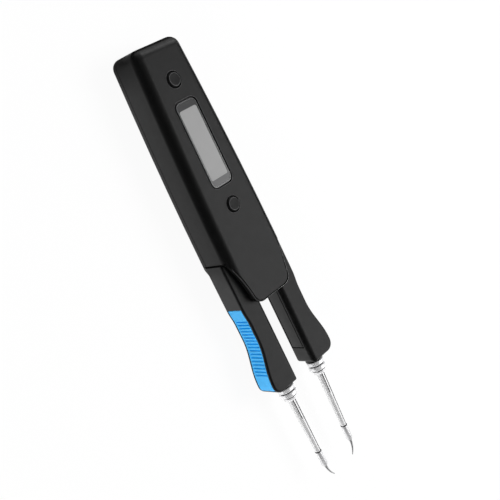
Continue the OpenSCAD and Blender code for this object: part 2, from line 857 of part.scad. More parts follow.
module right_arm_cover() {
    on_side(RIGHT) arm_cover();
}

module grip_pad() {
    first_y = grip_y1 - groove_from;
    depth = arm_depth - 2 * grip_margin;
    color([0.2, 0.6, 0.95])
    difference() {
        translate([0, 0, arm_z0 + grip_margin]) linear_extrude(depth) grip_outline(0);
        for (i = [0:groove_count - 1])
            let (y = first_y - i * groove_pitch)
            box([arm_outer_x(y) - groove_t, bulge_w], [y - groove_w / 2, y + groove_w / 2],
                [arm_z0 + grip_margin + groove_margin, arm_z1 - grip_margin - groove_margin]);
    }
}

module left_grip_pad() {
    on_side(LEFT) grip_pad();
}

module right_grip_pad() {
    on_side(RIGHT) grip_pad();
}

module tip_socket() {
    color([0.8, 0.68, 0.35])
    at_cartridge() translate([0, 0, -socket_len])
        difference() {
            cylinder(d = socket_d, h = socket_len - socket_start);
            translate([0, 0, socket_len - socket_floor]) cylinder(d = barrel_bore_d, h = socket_floor);
            translate([0, 0, -over]) cylinder(d = contact_d + 2 * fit_gap, h = socket_len);
        }
}

module left_tip_socket() {
    on_side(LEFT) tip_socket();
}

module right_tip_socket() {
    on_side(RIGHT) tip_socket();
}

module leads() {
    color([0.7, 0.12, 0.1])
    for (z = lead_zs)
        translate([lead_x, lead_end_y, z]) rotate([90, 0, 0])
            cylinder(d = lead_d, h = lead_end_y - socket_rear_y - fit_gap);
}

module left_leads() {
    on_side(LEFT) leads();
}

module right_leads() {
    on_side(RIGHT) leads();
}

// Cartridges

module collar() {
    r = collar_d / 2;
    g = collar_groove_d / 2;
    bore = barrel_d / 2 + bore_gap;
    z = [for (i = [0:3]) collar_start + floor((i + 1) / 2) * collar_ring + floor(i / 2) * collar_groove];
    cone_z = collar_end - collar_cone;
    round_r = collar_ring / 4;
    color([0.85, 0.85, 0.87])
    at_cartridge() rotate_extrude()
        polygon(concat(
            [[bore, z[0]]],
            arc([r - round_r, z[0] + round_r], round_r, -90, 0, edge_steps),
            arc([r - round_r, z[1] - round_r], round_r, 0, 90, edge_steps),
            [[g, z[1]], [g, z[2]]],
            arc([r - round_r, z[2] + round_r], round_r, -90, 0, edge_steps),
            arc([r - round_r, z[3] - round_r], round_r, 0, 90, edge_steps),
            [[g, z[3]], [g, cone_z], [barrel_d / 2 + 0.4, collar_end], [bore, collar_end]]));
}

module left_collar() {
    on_side(LEFT) collar();
}

module right_collar() {
    on_side(RIGHT) collar();
}

module tube() {
    color([0.8, 0.8, 0.82])
    at_cartridge()
        turned([
            [barrel_d / 2, -barrel_len], [barrel_d / 2, collar_end], [tube_d / 2, collar_end],
            [tube_end_d / 2, bit_start], [spigot_d / 2, bit_start], [spigot_d / 2, bit_start + spigot_len]]);
}

module left_tube() {
    on_side(LEFT) tube();
}

module right_tube() {
    on_side(RIGHT) tube();
}

// A sleeve with a cone, and a needle that bends towards the middle
module bit() {
    seat_d = spigot_d + 2 * bore_gap;
    seat_len = spigot_len + stop_gap;
    sides = 12;
    ring_r = bit_d / 2;
    color([0.75, 0.75, 0.77])
    at_cartridge() {
        translate([0, 0, bit_start]) difference() {
            turned([[ring_r, 0], [ring_r, bit_len], [needle_d / 2, bit_len + bit_cone]]);
            translate([0, 0, -over]) cylinder(d = seat_d, h = seat_len + over);
        }
        translate([0, 0, needle_start - bit_cone / 2]) cylinder(d = needle_d, h = bit_cone / 2 + eps);
        skin([for (i = [0:curve_steps])
            let (
                t = i / curve_steps,
                a = bend_angle * t,
                r = (needle_d + (needle_end_d - needle_d) * t) / 2,
                center = [-bend_r * (1 - cos(a)), 0, needle_start + bend_r * sin(a)])
            [for (s = [0:sides - 1])
                let (b = 360 * s / sides)
                center + r * (cos(b) * [cos(a), 0, sin(a)] + sin(b) * [0, 1, 0])]]);
    }
}

module left_bit() {
    on_side(LEFT) bit();
}

module right_bit() {
    on_side(RIGHT) bit();
}

module contact() {
    r = contact_d / 2;
    color([0.85, 0.7, 0.35])
    at_cartridge() translate([0, 0, -barrel_len])
        turned(concat(
            arc([0, r - contact_len], r, -90, 0, edge_steps),
            [[r, -insulator_len], [insulator_d / 2, -insulator_len], [insulator_d / 2, 0]]));
}

module left_contact() {
    on_side(LEFT) contact();
}

module right_contact() {
    on_side(RIGHT) contact();
}

front_shell();
rear_shell();
display_lens();
display_panel();
main_board();
upper_switch();
lower_switch();
power_inlet();
shell_screws();
left_pivot_pin();
right_pivot_pin();
return_spring();
upper_button();
lower_button();
left_arm_shell();
right_arm_shell();
left_arm_cover();
right_arm_cover();
left_grip_pad();
right_grip_pad();
left_tip_socket();
right_tip_socket();
left_leads();
right_leads();
left_collar();
right_collar();
left_tube();
right_tube();
left_bit();
right_bit();
left_contact();
right_contact();
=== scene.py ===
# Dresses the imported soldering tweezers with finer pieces, materials, a floor, light and a camera.
import math

import bmesh
import bpy
from mathutils import Matrix, Vector


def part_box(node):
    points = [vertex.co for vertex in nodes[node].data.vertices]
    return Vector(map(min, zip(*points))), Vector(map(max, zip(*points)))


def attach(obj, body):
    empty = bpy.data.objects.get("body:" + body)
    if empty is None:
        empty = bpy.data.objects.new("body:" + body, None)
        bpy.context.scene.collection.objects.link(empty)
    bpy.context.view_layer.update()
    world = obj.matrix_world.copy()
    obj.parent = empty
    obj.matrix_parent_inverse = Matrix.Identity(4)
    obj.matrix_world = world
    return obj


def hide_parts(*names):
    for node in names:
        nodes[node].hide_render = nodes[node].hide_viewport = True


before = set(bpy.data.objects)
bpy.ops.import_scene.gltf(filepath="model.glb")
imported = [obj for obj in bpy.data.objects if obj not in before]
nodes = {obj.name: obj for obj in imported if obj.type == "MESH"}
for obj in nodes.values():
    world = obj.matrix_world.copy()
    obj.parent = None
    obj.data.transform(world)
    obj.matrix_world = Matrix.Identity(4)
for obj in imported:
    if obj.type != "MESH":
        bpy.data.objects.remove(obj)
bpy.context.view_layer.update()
scene = bpy.context.scene

MM = 0.001
SIDES = (("left", -1), ("right", 1))

# Body and hood, in millimetres like all sizes down to the cartridges; turns are in degrees
BODY_DEPTH = 15.0
BODY_HALF = 12.6
FRONT_R = 3.4
SHOULDER_Y = 8.767
HOOD_HALF = 8.8
HOOD_R = 3.4
HOOD_SIDE_R = 56.0
HOOD_END = -8.833
HOOD_LIP_Z = 14.2
HOOD_SIDE_STEPS = 24
HOOD_RIM_INSETS = (0.01, 0.21)
HOOD_RIM_LIFT = 0.03
HOOD_RIM_ROUND = 0.08
HOOD_RIM_T = 0.2
HOOD_RIM_FLAT = (0.3, 0.7)

# Lens and display window
DISPLAY_Y = 46.367
LENS_W = 8.9
LENS_LEN = 29.7
LENS_CORNER_R = 2.05
LENS_Z0 = BODY_DEPTH - 1.2
LENS_TOP = 15.06
LENS_RIM = 0.4
LENS_RIM_LOW = 0.1
LENS_GAP = 0.12
LENS_GROOVE = 0.35
BORDER_TOP = LENS_TOP - 0.12
WINDOW_W = 7.5
WINDOW_LEN = 24.2
WINDOW_CORNER_R = 0.7
WINDOW_TOP = LENS_TOP - 0.16
LENS_CORNER_STEPS = 10

# The bead round a hole in the front, lighter than the shell as a painted highlight
BEAD_R = 0.1
BEAD_STEPS = 12

# Buttons
BUTTON_YS = {"upper": 68.267, "lower": 24.467}
BUTTON_R = 2.6
BUTTON_FACE_R = 2.15
BUTTON_RIM = 0.2
BUTTON_HOLE_R = 2.8
BUTTON_BEAD_R = BUTTON_HOLE_R + 0.11
BUTTON_TOP = 15.75
BUTTON_Z0 = 12.1
BUTTON_FLANGE_R = 3.5
BUTTON_FLANGE_T = 0.8
BUTTON_TAPER_Z0 = BODY_DEPTH - 0.1
BUTTON_TAPER_Z1 = BUTTON_TOP - BUTTON_RIM - 0.08
BUTTON_TAPER_R1 = BUTTON_FACE_R + 0.06
DISH_R = BUTTON_FACE_R - BUTTON_RIM - 0.12
DISH_T = 0.09
DISH_RINGS = 8

# Screws of the shells
SCREW_R = 1.0
SCREW_HEAD_R = 1.8
SCREW_HEAD_H = 1.2
SCREW_RIM = 0.2
SCREW_SEGMENTS = 48
SOCKET_ACROSS = 1.5
SOCKET_T = 0.7

# Arms
ARM_HALF = 13.4
ARM_INNER = 4.6
WAIST_HALF = 12.9
BULGE_HALF = 15.7
WAIST_TOP = -13.833
WAIST_Y = -19.833
BULGE_Y = -36.633
NOSE_Y = -40.333
NOSE_R = 3.2

# Grip pads and their cross grooves
GRIP_Y0 = -38.833
GRIP_Y1 = -8.033
GRIP_Z0 = 3.9
GRIP_Z1 = 11.1
GRIP_T = 1.1
GRIP_EDGE_R = 0.35
GRIP_EDGE_TURNS = (0, 22, 45, 67)
GRIP_EDGE_GAP = 0.05
GRIP_END_R = 0.3
GRIP_STEPS = 420
GRIP_ROWS = 44
GROOVE_FIRST = GRIP_Y1 - 4.7
GROOVE_PITCH = 1.23
GROOVE_COUNT = 17
GROOVE_T = 0.42
GROOVE_FLOOR_HALF = 0.14
GROOVE_HALF = 0.3
GROOVE_LOW_END = (GRIP_Z0 + 0.7, GRIP_Z0 + 0.95)
GROOVE_HIGH_END = (GRIP_Z1 - 0.42, GRIP_Z1 - 0.25)
GROOVE_SHADE_DEPTH = 0.2

# Inner cover plates
COVER_Y0 = -34.133
COVER_Y1 = -3.533
COVER_Z0 = 3.9
COVER_Z1 = 9.8
COVER_T = 0.8
COVER_GAP = 0.22
COVER_EDGE_R = 0.16
COVER_CORNER_R = 0.3
COVER_CORNER_FALL = 0.9

# Cartridges, with heights along their own axis from the nose of the arm
AXIS_X = 8.4
AXIS_Z = 7.5
TOE = math.radians(1.4)
BARREL_R = 1.8
BARREL_LEN = 24.0
BARREL_CHAMFER = 0.2
BARREL_GAP = 0.03
BARREL_STEP = 0.01
COLLAR_START = 1.0
COLLAR_RING = 1.6
COLLAR_GROOVE = 0.45
COLLAR_CONE = 1.2
COLLAR_R = 3.25
COLLAR_ROUND = 0.4
COLLAR_GROOVE_R = 2.6
COLLAR_END = COLLAR_START + 2 * COLLAR_RING + 2 * COLLAR_GROOVE + COLLAR_CONE
COLLAR_END_RS = (BARREL_R + 0.55, BARREL_R + 0.4)
COLLAR_END_CHAMFER = 0.12
COLLAR_PAINTED_SHADE_RS = (BARREL_R + 0.5, COLLAR_GROOVE_R + 0.05)
COLLAR_SEGMENTS = 72
TUBE_R = 1.5
TUBE_END_R = 1.1
TUBE_STEP = 5
TUBE_END_CHAMFER = 0.1
SLOT_LEN = 8.2
SLOT_T = 0.08
SLOT_TURN = 20
SLOT_HALF_TURN = 8.0
SLOT_END = 0.02
SLOT_PLACES = (2, 5)
TUBE_PLACES = (12, 17)
SEAM_T = 0.015
SEAM_TURN = 21
SEAM_HALF_TURN = 13.0
LINE_FLOOR = 0.8
LINE_CLEAR = 3
BIT_START = COLLAR_END + 22.7
BIT_R = 1.2
BIT_LEN = 5.8
BIT_CONE = 0.8
BIT_GAP = 0.3
BIT_CHAMFER = 0.12
BIT_SHOULDER_FALL = 0.06
BIT_SHOULDER_FROM = BIT_START + BIT_LEN - 0.1
BIT_SHOULDER_TO = BIT_START + BIT_LEN + 0.05
BIT_SEGMENTS = 48
NEEDLE_START = BIT_START + BIT_LEN + BIT_CONE
NEEDLE_R = 0.5
NEEDLE_END_R = 0.15
NEEDLE_STEPS = 26
NEEDLE_TIN_START = NEEDLE_START - 0.4
BEND_R = 8.0
BEND = math.radians(40)
TIP_SHARE = 0.5
TIP_LEN = 0.06
JOINT_BORE = 0.8
JOINT_LOW_R = BIT_R - 0.02
JOINT_R = BIT_R + 0.04
JOINT_START = BIT_START - 0.02
JOINT_END = BIT_START + 0.34
JOINT_ROUND = 0.08


# Nodes of a material

def add_node(tree, kind, **inputs):
    """A node with constants on the sockets that are named."""
    node = tree.nodes.new(kind)
    for key, value in inputs.items():
        node.inputs[key].default_value = value
    return node


def math_node(tree, operation, *values):
    """The result of a math node, whose values are constants or outputs of other nodes."""
    node = tree.nodes.new("ShaderNodeMath")
    node.operation = operation
    for socket, value in zip(node.inputs, values):
        if isinstance(value, float):
            socket.default_value = value
        else:
            tree.links.new(value, socket)
    return node.outputs[0]


def map_range(tree, value, start, end, low=0.0, high=1.0, interpolation="LINEAR"):
    node = tree.nodes.new("ShaderNodeMapRange")
    node.interpolation_type = interpolation
    for key, number in (("From Min", start), ("From Max", end), ("To Min", low), ("To Max", high)):
        node.inputs[key].default_value = number
    tree.links.new(value, node.inputs["Value"])
    return node.outputs["Result"]


def object_coords(tree, scale=(1, 1, 1)):
    """Places on the object in metres, scaled along its axes."""
    coord = tree.nodes.new("ShaderNodeTexCoord")
    mapping = add_node(tree, "ShaderNodeMapping", Scale=scale)
    tree.links.new(coord.outputs["Object"], mapping.inputs["Vector"])
    return mapping.outputs["Vector"]


def along_axis(tree, vector, axis, start, end):
    """A value from 0 to 1 between two places along an axis, in millimetres."""
    split = tree.nodes.new("ShaderNodeSeparateXYZ")
    tree.links.new(vector, split.inputs[0])
    return map_range(tree, split.outputs[axis], start * MM, end * MM)


def noise(tree, vector, scale, detail, roughness=0.5):
    node = add_node(tree, "ShaderNodeTexNoise", Scale=scale, Detail=detail, Roughness=roughness)
    tree.links.new(vector, node.inputs["Vector"])
    return node.outputs["Fac"]


def spread(tree, value, middle, reach):
    """A noise, of which the middle half covers a range round a value."""
    return map_range(tree, value, start=0.25, end=0.75, low=middle - reach, high=middle + reach)


def two_tone(tree, value, first, second, start=0.0, end=1.0):
    ramp = tree.nodes.new("ShaderNodeValToRGB")
    for stop, place, colour in zip(ramp.color_ramp.elements, (start, end), (first, second)):
        stop.position = place
        stop.color = (*colour, 1)
    tree.links.new(value, ramp.inputs["Fac"])
    return ramp.outputs["Color"]


def tinted(tree, value, colour, vary):
    """A colour that a noise makes a little darker or lighter."""
    dark, light = ([min(1.0, c * factor) for c in colour] for factor in (1 - vary, 1 + vary))
    return two_tone(tree, value, dark, light, start=0.3, end=0.7)


def bump(tree, height, distance, strength):
    node = add_node(tree, "ShaderNodeBump", Strength=strength, Distance=distance)
    tree.links.new(height, node.inputs["Height"])
    return node.outputs["Normal"]


# Kinds of material

def new_material(name, metallic=0.0, specular=0.5):
    mat = bpy.data.materials.new(name)
    mat.use_nodes = True
    tree = mat.node_tree
    shader = tree.nodes["Principled BSDF"]
    shader.inputs["Metallic"].default_value = metallic
    shader.inputs["Specular IOR Level"].default_value = specular
    return mat, tree, shader


def connect(tree, shader, colour, rough, normal=None):
    tree.links.new(colour, shader.inputs["Base Color"])
    tree.links.new(rough, shader.inputs["Roughness"])
    if normal:
        tree.links.new(normal, shader.inputs["Normal"])


def plastic(name, colour, rough, grain=9000, grain_depth=6e-6, vary=0.12, specular=0.5):
    """Moulded plastic: a fine spark-eroded grain, with the sheen and the tone drifting a little."""
    mat, tree, shader = new_material(name, specular=specular)
    vector = object_coords(tree)
    tone = noise(tree, vector, scale=110, detail=3)
    fine = noise(tree, vector, scale=grain, detail=2)
    sheen = noise(tree, vector, scale=420, detail=4)
    connect(tree, shader, tinted(tree, tone, colour, vary), spread(tree, sheen, rough, reach=0.04),
            bump(tree, fine, grain_depth, strength=0.6))
    return mat


def painted_gradient_plastic(name, near, far, axis, start, end, rough):
    """Plastic whose colour runs from one value to another along an axis, with a little cloud in it; it
    carries painted highlight and painted reflection.
    """
    mat, tree, shader = new_material(name)
    vector = object_coords(tree)
    cloud = noise(tree, vector, scale=300, detail=3)
    cloud_share = 0.06
    drift = math_node(tree, "MULTIPLY_ADD", cloud, cloud_share, along_axis(tree, vector, axis, start, end))
    connect(tree, shader, two_tone(tree, drift, near, far), spread(tree, cloud, rough, reach=0.03))
    return mat


def metal(name, colour, rough, stretch=(5200, 90, 5200), vary=0.1, rough_vary=0.06, depth=2e-6,
          metallic=1.0):
    """Turned or drawn metal: streaks along one direction in tone and height, and clouds in the sheen."""
    mat, tree, shader = new_material(name, metallic=metallic)
    streak = noise(tree, object_coords(tree, stretch), scale=1.0, detail=3, roughness=0.6)
    cloud = noise(tree, object_coords(tree), scale=240, detail=3)
    connect(tree, shader, tinted(tree, streak, colour, vary), spread(tree, cloud, rough, rough_vary),
            bump(tree, streak, depth, strength=0.5))
    return mat


def rubber(name, colour, rough, specular=0.35):
    """Soft grip rubber: a dusty fine grain and a slow drift in tone."""
    mat, tree, shader = new_material(name, specular=specular)
    vector = object_coords(tree)
    tone = noise(tree, vector, scale=260, detail=4)
    fine = noise(tree, vector, scale=12000, detail=2)
    connect(tree, shader, tinted(tree, tone, colour, vary=0.05), spread(tree, fine, rough, reach=0.05),
            bump(tree, fine, distance=5e-6, strength=0.5))
    return mat


BLACK = (0.003, 0.003, 0.0031)
FINE_GRAIN = 14000
FINE_STREAKS = (1500, 60, 1500)
PLASTICS = {
    "shell_black": dict(colour=BLACK, rough=0.4, specular=0.42),
    "arm_black": dict(colour=BLACK, rough=0.4, specular=0.39),
    # painted highlight: the lighter beads round the button holes and the lens groove
    "shell_worn": dict(colour=(0.045, 0.045, 0.046), rough=0.45, grain=FINE_GRAIN),
    "button_black": dict(colour=BLACK, rough=0.46, grain=FINE_GRAIN, specular=0.34),
    # painted highlight on the rounded rim of each button
    "button_edge": dict(colour=(0.075, 0.075, 0.077), rough=0.45, grain=FINE_GRAIN),
    "display_grey": dict(colour=(0.268, 0.268, 0.268), rough=0.5, grain=20000, grain_depth=1e-6, vary=0.02),
    "board_green": dict(colour=(0.01, 0.12, 0.05), rough=0.4),
    "switch_black": dict(colour=(0.02, 0.02, 0.02), rough=0.5),
    "lead_red": dict(colour=(0.5, 0.03, 0.02), rough=0.45),
}
# colour ramps that carry painted highlight and painted reflection
PAINTED_GRADIENT_PLASTICS = {
    # painted highlight on the hood rim, lighter towards +X
    "shell_edge": dict(near=(0.022, 0.022, 0.023), far=(0.2, 0.2, 0.203), axis="X", start=-9, end=8,
                       rough=0.45),
    # smoked lens tint, with painted reflection: lighter towards low Y
    "lens_smoke": dict(near=(0.085, 0.085, 0.087), far=(0.014, 0.014, 0.015), axis="Y", start=32, end=60,
                       rough=0.3),
    # painted highlight on the lens rim, lighter towards low Y
    "lens_edge": dict(near=(0.21, 0.21, 0.212), far=(0.075, 0.075, 0.077), axis="Y", start=32, end=60,
                      rough=0.34),
}
METALS = {
    "steel": dict(colour=(0.62, 0.62, 0.64), rough=0.3),
    "chrome": dict(colour=(0.9, 0.9, 0.91), rough=0.16, stretch=(900, 900, 900), vary=0.02, rough_vary=0.03,
                   depth=2e-7, metallic=0.5),
    "stainless": dict(colour=(0.75, 0.75, 0.755), rough=0.24, stretch=FINE_STREAKS, vary=0.02, depth=5e-8,
                      metallic=0.4),
    "bit_plating": dict(colour=(0.8, 0.8, 0.81), rough=0.26, stretch=FINE_STREAKS, vary=0.04, depth=3e-7,
                        metallic=0.65),
    "needle_tin": dict(colour=(0.42, 0.42, 0.425), rough=0.32, stretch=FINE_STREAKS, vary=0.06, depth=2e-7,
                       metallic=0.8),
    # black for painted shade in the collar grooves, tube slot and seam and the joint gap
    "joint_black": dict(colour=(0.05, 0.05, 0.052), rough=0.45),
    "brass": dict(colour=(0.78, 0.58, 0.24), rough=0.3),
}
RUBBERS = {
    "grip_blue": dict(colour=(0.052, 0.395, 0.79), rough=0.5),
    # painted shade: the darker blue of the deep groove floors
    "grip_blue_deep": dict(colour=(0.004, 0.3, 0.72), rough=0.6, specular=0.1),
}
MATERIALS = {}
for make, looks in ((plastic, PLASTICS), (painted_gradient_plastic, PAINTED_GRADIENT_PLASTICS), (metal, METALS), (rubber, RUBBERS)):
    for name, look in looks.items():
        MATERIALS[name] = make(name, **look)

MATERIAL_OF_NODE = {
    "front_shell": "shell_black", "rear_shell": "shell_black", "display_lens": "lens_smoke",
    "display_panel": "display_grey", "main_board": "board_green", "upper_switch": "switch_black",
    "lower_switch": "switch_black", "power_inlet": "steel", "shell_screws": "steel",
    "left_pivot_pin": "steel", "right_pivot_pin": "steel", "return_spring": "steel",
    "upper_button": "button_black", "lower_button": "button_black",
}
MATERIAL_ON_EACH_SIDE = {
    "arm_shell": "arm_black", "arm_cover": "arm_black", "grip_pad": "grip_blue", "tip_socket": "brass",
    "leads": "lead_red", "collar": "chrome", "tube": "chrome", "bit": "bit_plating", "contact": "brass",
}
for side, _ in SIDES:
    for piece, material in MATERIAL_ON_EACH_SIDE.items():
        MATERIAL_OF_NODE[f"{side}_{piece}"] = material


# The CAD nodes: welded, shaded smooth up to an angle, and given their materials

def smooth_group(angle, weld):
    """A node group that welds a mesh, drops its stored normals and shades it smooth up to an angle."""
    group = bpy.data.node_groups.new("smooth_by_angle", "GeometryNodeTree")
    group.interface.new_socket("Geometry", in_out="INPUT", socket_type="NodeSocketGeometry")
    group.interface.new_socket("Geometry", in_out="OUTPUT", socket_type="NodeSocketGeometry")
    source = group.nodes.new("NodeGroupInput")
    sink = group.nodes.new("NodeGroupOutput")
    drop = add_node(group, "GeometryNodeRemoveAttribute", Name="custom_normal")
    merge = add_node(group, "GeometryNodeMergeByDistance", Distance=weld)
    faces = group.nodes.new("GeometryNodeSetShadeSmooth")
    faces.domain = "FACE"
    faces.inputs["Shade Smooth"].default_value = True
    edges = group.nodes.new("GeometryNodeSetShadeSmooth")
    edges.domain = "EDGE"
    bend = group.nodes.new("GeometryNodeInputMeshEdgeAngle")
    below = group.nodes.new("FunctionNodeCompare")
    below.data_type = "FLOAT"
    below.operation = "LESS_THAN"
    below.inputs["B"].default_value = angle
    link = group.links.new
    link(source.outputs[0], drop.inputs["Geometry"])
    link(drop.outputs[0], merge.inputs["Geometry"])
    link(merge.outputs[0], faces.inputs["Geometry"])
    link(faces.outputs[0], edges.inputs["Geometry"])
    link(bend.outputs["Unsigned Angle"], below.inputs["A"])
    link(below.outputs["Result"], edges.inputs["Shade Smooth"])
    link(edges.outputs[0], sink.inputs[0])
    return group


SMOOTH = smooth_group(angle=math.radians(28), weld=2e-6)
for name, obj in nodes.items():
    obj.data.materials.clear()
    obj.data.materials.append(MATERIALS[MATERIAL_OF_NODE[name]])
    smooth = obj.modifiers.new("smooth", "NODES")
    smooth.node_group = SMOOTH
    normals = obj.modifiers.new("normals", "WEIGHTED_NORMAL")
    normals.keep_sharp = True
    normals.weight = 80


# Building pieces

def add_piece(name, bm, body, slot, material=None, second=None, angle=40, replaces=()):
    """A piece from a mesh, sharp above an angle; faces with material index 1 take the second material."""
    mesh = bpy.data.meshes.new(name)
    bmesh.ops.recalc_face_normals(bm, faces=bm.faces)
    bm.to_mesh(mesh)
    bm.free()
    mesh.materials.append(MATERIALS[material or slot])
    if second:
        mesh.materials.append(MATERIALS[second])
    mesh.shade_smooth()
    mesh.set_sharp_from_angle(angle=math.radians(angle))
    obj = bpy.data.objects.new(name, mesh)
    scene.collection.objects.link(obj)
    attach(obj, body)
    if replaces:
        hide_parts(*replaces)


def ring_faces(bm, a, b):
    n = len(a)
    for i in range(n):
        j = (i + 1) % n
        bm.faces.new((a[i], a[j], b[j], b[i]))


def skin(bm, rings):
    """Faces between closed rings of points, in millimetres; gives back the rings of vertices."""
    made = [[bm.verts.new(Vector(p) * MM) for p in ring] for ring in rings]
    for a, b in zip(made, made[1:]):
        ring_faces(bm, a, b)
    return made


def loft(bm, rings):
    """A skin with a cap on its first and its last ring."""
    made = skin(bm, rings)
    bm.faces.new(made[0][::-1])
    bm.faces.new(made[-1])
    return made


def loft_loop(bm, rings):
    """A skin whose last ring joins its first."""
    made = skin(bm, rings)
    ring_faces(bm, made[-1], made[0])


def mark_faces(bm, chosen):
    """Gives the second material to the faces whose middle, in millimetres, is chosen."""
    for face in bm.faces:
        if chosen(face.calc_center_median() / MM):
            face.material_index = 1


def arc(cx, cy, r, from_deg, to_deg, steps):
    out = []
    for i in range(steps + 1):
        a = math.radians(from_deg + (to_deg - from_deg) * i / steps)
        out.append((cx + r * math.cos(a), cy + r * math.sin(a)))
    return out


def bead(place):
    """The round section of a bead, in pairs of a place across it and a height."""
    return arc(place, 0, BEAD_R, 0, 360, BEAD_STEPS)[:-1]


def rounded_rect(w, h, r, steps):
    points = []
    for cx, cy, start in ((1, 1, 0), (-1, 1, 90), (-1, -1, 180), (1, -1, 270)):
        points += arc(cx * (w / 2 - r), cy * (h / 2 - r), r, start, start + 90, steps)
    return points


def turned(profile, segments=64):
    """Rings of a turned shape from pairs of radius and height."""
    turns = [2 * math.pi * i / segments for i in range(segments)]
    return [[(r * math.cos(a), r * math.sin(a), h) for a in turns] for r, h in profile]


def moved(rings, x, y):
    return [[(x + px, y + py, pz) for px, py, pz in ring] for ring in rings]


def ease(a, b, t):
    return a + (b - a) * (1 - math.cos(math.pi * t)) / 2


def smooth_step(a, b, t):
    t = min(max((t - a) / (b - a), 0.0), 1.0)
    return t * t * (3 - 2 * t)


# Arms: grip pads with rounded grooves, and inner cover plates

def arm_outer(y):
    """Half the width over both arms at a place along Y."""
    if y > GRIP_Y1:
        return ARM_HALF
    if y > WAIST_TOP:
        return ease(ARM_HALF, WAIST_HALF, (GRIP_Y1 - y) / (GRIP_Y1 - WAIST_TOP))
    if y > WAIST_Y:
        return WAIST_HALF
    if y > BULGE_Y:
        return ease(WAIST_HALF, BULGE_HALF, (WAIST_Y - y) / (WAIST_Y - BULGE_Y))
    if y > NOSE_Y + NOSE_R:
        return BULGE_HALF
    return BULGE_HALF - NOSE_R + math.sqrt(max(0.0, NOSE_R ** 2 - (NOSE_Y + NOSE_R - y) ** 2))


def groove_depth(y, z):
    """How far the surface of a grip pad is sunk at a place, for its rounded cross grooves."""
    k = round((GROOVE_FIRST - y) / GROOVE_PITCH)
    if k < 0 or k >= GROOVE_COUNT:
        return 0.0
    off = abs(y - (GROOVE_FIRST - k * GROOVE_PITCH))
    across = 1 - smooth_step(GROOVE_FLOOR_HALF, GROOVE_HALF, off)
    ends = smooth_step(*GROOVE_LOW_END, z) * (1 - smooth_step(*GROOVE_HIGH_END, z))
    return GROOVE_T * across * ends


def grip_end_drop(from_end):
    """How far the surface of a grip pad falls near an end, where it is rounded."""
    if from_end >= GRIP_END_R:
        return 0.0
    return GRIP_END_R - math.sqrt(max(0.0, GRIP_END_R ** 2 - (GRIP_END_R - from_end) ** 2))


def grip_piece(side, sign):
    """A grip pad along the outside of an arm, the deep floors of its grooves painted darker blue as painted
    shade.
    """
    bm = bmesh.new()
    z0 = GRIP_Z0 + GRIP_EDGE_R + GRIP_EDGE_GAP
    z1 = GRIP_Z1 - GRIP_EDGE_R - GRIP_EDGE_GAP
    zs = [z0 + (z1 - z0) * i / GRIP_ROWS for i in range(GRIP_ROWS + 1)]
    turns = [math.radians(d) for d in GRIP_EDGE_TURNS]
    edge = [(GRIP_EDGE_R * (1 - math.sin(a)), GRIP_EDGE_R * (1 - math.cos(a))) for a in turns]
    step = (GRIP_Y1 - GRIP_Y0) / GRIP_STEPS
    rings = []
    for i in range(GRIP_STEPS + 1):
        y = GRIP_Y0 + step * i
        inside = arm_outer(y) - GRIP_T
        x = arm_outer(y) - grip_end_drop(step * min(i, GRIP_STEPS - i))
        ring = [(inside, GRIP_Z0)]
        ring += [(x - dx, GRIP_Z0 + dz) for dx, dz in edge]
        ring += [(x - groove_depth(y, z), z) for z in zs]
        ring += [(x - dx, GRIP_Z1 - dz) for dx, dz in reversed(edge)]
        ring.append((inside, GRIP_Z1))
        rings.append([(sign * px, y, pz) for px, pz in ring])
    loft(bm, rings)
    # the deep groove floors take the darker blue: painted shade
    mark_faces(bm, lambda spot: groove_depth(spot.y, spot.z) > GROOVE_SHADE_DEPTH)
    add_piece(f"{side}_grip", bm, f"{side}_arm", "grip_blue", second="grip_blue_deep", angle=60,
              replaces=(f"{side}_grip_pad",))


def cover_piece(side, sign):
    """The plate on the inner face of an arm: rounded edges and a shadow gap all round."""
    bm = bmesh.new()
    w = COVER_Y1 - COVER_Y0 - 2 * COVER_GAP
    h = COVER_Z1 - COVER_Z0 - 2 * COVER_GAP
    y = (COVER_Y0 + COVER_Y1) / 2
    z = (COVER_Z0 + COVER_Z1) / 2
    layers = [(0, ARM_INNER + COVER_T)]
    for dx, dz in reversed(arc(0, 0, COVER_EDGE_R, 0, 90, steps=5)):
        layers.append((COVER_EDGE_R - dz, ARM_INNER + COVER_EDGE_R - dx))
    rings = []
    for inset, x in layers:
        corner_r = COVER_CORNER_R - inset * COVER_CORNER_FALL
        flat = rounded_rect(w - 2 * inset, h - 2 * inset, corner_r, steps=5)
        rings.append([(sign * x, y + py, z + pz) for py, pz in flat])
    loft(bm, rings)
    add_piece(f"{side}_cover_plate", bm, f"{side}_arm", "shell_black", material="arm_black",
              replaces=(f"{side}_arm_cover",))


for side, sign in SIDES:
    grip_piece(side, sign)
    cover_piece(side, sign)


# Buttons with a rounded rim and a shallow dish, and the bead round the hole that each sits in; rim and bead
# are lighter as a painted highlight

